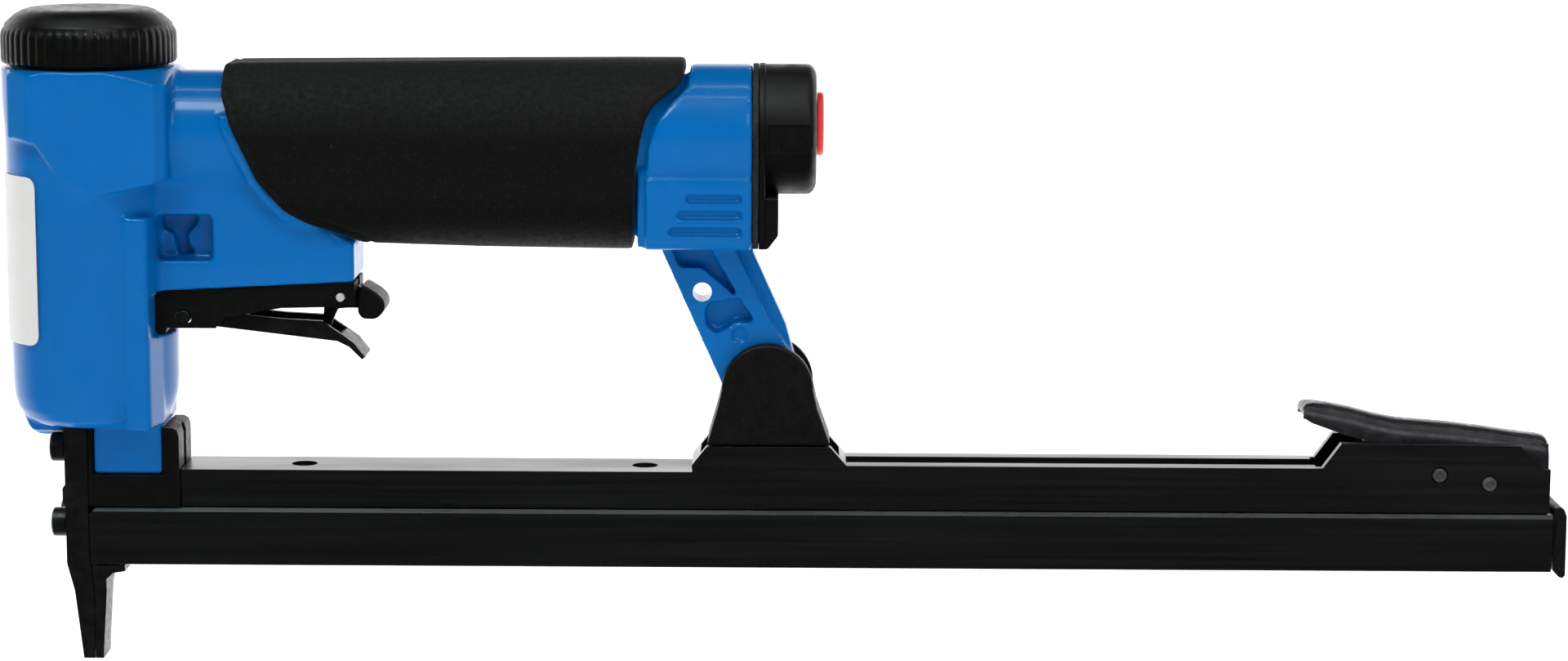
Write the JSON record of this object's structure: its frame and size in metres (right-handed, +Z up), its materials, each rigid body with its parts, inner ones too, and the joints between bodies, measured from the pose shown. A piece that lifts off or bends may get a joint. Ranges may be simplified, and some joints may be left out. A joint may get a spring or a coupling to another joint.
{
  "type": "pneumatic staple gun",
  "caption": "Compressed-air staple gun: fluted cap, foam grip, sheet trigger, long narrow nose and a long bottom-loading magazine that slides back past its rear latch.",
  "frame": {"origin": "middle of the nose foot, the face that is pressed onto the work", "axes": "+X from the nose to the rear of the magazine, +Z up through the handle, +Y to the tool's left side seen from behind; symmetric about Y = 0 but for the label and the tower screw"},
  "size_m": [0.3486, 0.0384, 0.1464],
  "materials": {
    "body_blue": "gloss blue paint on cast aluminium",
    "grip_foam": "fine-grained black foam rubber",
    "plastic_black": "moulded black plastic",
    "magazine_black": "satin black anodised",
    "steel_black": "blackened steel",
    "steel_bright": "ground and plated steel",
    "seal_rubber": "black nitrile rubber",
    "brass": "turned brass",
    "plug_red": "moulded red plastic",
    "label_white": "blank off-white film",
    "filter_felt": "pressed grey felt"
  },
  "bodies": {
    "root": {"housing": "body_blue", "cylinder_cap": "plastic_black", "cap_seal": "seal_rubber", "cylinder_sleeve": "steel_bright", "bumper": "seal_rubber", "grip_sleeve": "grip_foam", "end_cap": "plastic_black", "end_cap_gasket": "seal_rubber", "end_cap_screw_left": "steel_black", "end_cap_screw_right": "steel_black", "inlet_bush": "brass", "exhaust_filter": "filter_felt", "trigger_bracket": "plastic_black", "trigger_pin": "steel_black", "safety_pin": "steel_bright", "valve_bushing": "brass", "front_plate": "steel_black", "nose_guide": "steel_black", "nose_block": "plastic_black", "nose_screw_upper_left": "steel_black", "nose_screw_upper_right": "steel_black", "nose_screw_lower_left": "steel_black", "nose_screw_lower_right": "steel_black", "magazine_rail": "magazine_black", "rail_screw_front": "steel_black", "rail_screw_rear": "steel_black", "tower_clevis": "plastic_black", "tower_screw": "steel_black", "tower_cross_pin": "steel_black", "latch_pivot_pin": "steel_black", "latch_stop_pin": "steel_black", "name_label": "label_white", "head_valve_spring": "steel_bright", "valve_spring": "steel_bright", "latch_spring": "steel_bright"},
    "head_valve": {"head_valve_piston": "plastic_black"},
    "piston_driver": {"piston": "steel_bright", "piston_ring": "seal_rubber", "driver_blade": "steel_bright", "driver_pin": "steel_bright"},
    "trigger": {"trigger_lever": "steel_black"},
    "valve_stem_body": {"valve_stem": "steel_bright"},
    "safety": {"safety_catch": "steel_black"},
    "latch": {"latch_lever": "steel_black"},
    "magazine": {"slide_channel": "magazine_black", "slide_core": "steel_bright", "guide_rod": "steel_bright", "slide_end_block": "plastic_black", "pull_tab": "plastic_black", "tab_rivet": "steel_bright", "pusher_spring": "steel_bright"},
    "pusher_body": {"pusher": "steel_black"},
    "plug": {"inlet_plug": "plug_red"}
  },
  "joints": [
    {"name": "piston_stroke", "type": "slide", "parent": "root", "child": "piston_driver", "axis": [0, 0, -1], "range_m": [0, 0.037]},
    {"name": "trigger_pull", "type": "hinge", "parent": "root", "child": "trigger", "pos_m": [0.0239, 0, 0.0786], "axis": [0, -1, 0], "range_deg": [0, 6], "stiffness_Nm_per_rad": 0.2, "springref_deg": -17.19},
    {"name": "valve_stem_slide", "type": "slide", "parent": "root", "child": "valve_stem_body", "axis": [0, 0, 1], "range_m": [0, 0.0013], "deforming": ["valve_spring"]},
    {"name": "head_valve_lift", "type": "slide", "parent": "root", "child": "head_valve", "axis": [0, 0, 1], "range_m": [0, 0.0025], "deforming": ["head_valve_spring"]},
    {"name": "safety_swing", "type": "hinge", "parent": "root", "child": "safety", "pos_m": [0.0587, 0, 0.0833], "axis": [0, -1, 0], "range_deg": [0, 15], "stiffness_Nm_per_rad": 0.02, "springref_deg": -17.19},
    {"name": "latch_press", "type": "hinge", "parent": "root", "child": "latch", "pos_m": [0.3034, 0, 0.0444], "axis": [0, -1, 0], "range_deg": [0, 10], "stiffness_Nm_per_rad": 0.3, "springref_deg": -17.19, "deforming": ["latch_spring"]},
    {"name": "magazine_slide", "type": "slide", "parent": "root", "child": "magazine", "axis": [1, 0, 0], "range_m": [0, 0.25]},
    {"name": "pusher_slide", "type": "slide", "parent": "magazine", "child": "pusher_body", "axis": [1, 0, 0], "range_m": [0, 0.25], "stiffness_N_per_m": 20, "springref_m": -0.15, "deforming": ["pusher_spring"]},
    {"name": "inlet_plug_pull", "type": "slide", "parent": "root", "child": "plug", "axis": [1, 0, 0], "range_m": [0, 0.015]}
  ],
  "couplings": [
    {"joint": "valve_stem_slide", "follows": "trigger_pull", "m_per_rad": 0.012},
    {"joint": "head_valve_lift", "follows": "trigger_pull", "m_per_rad": 0.0235}
  ]
}
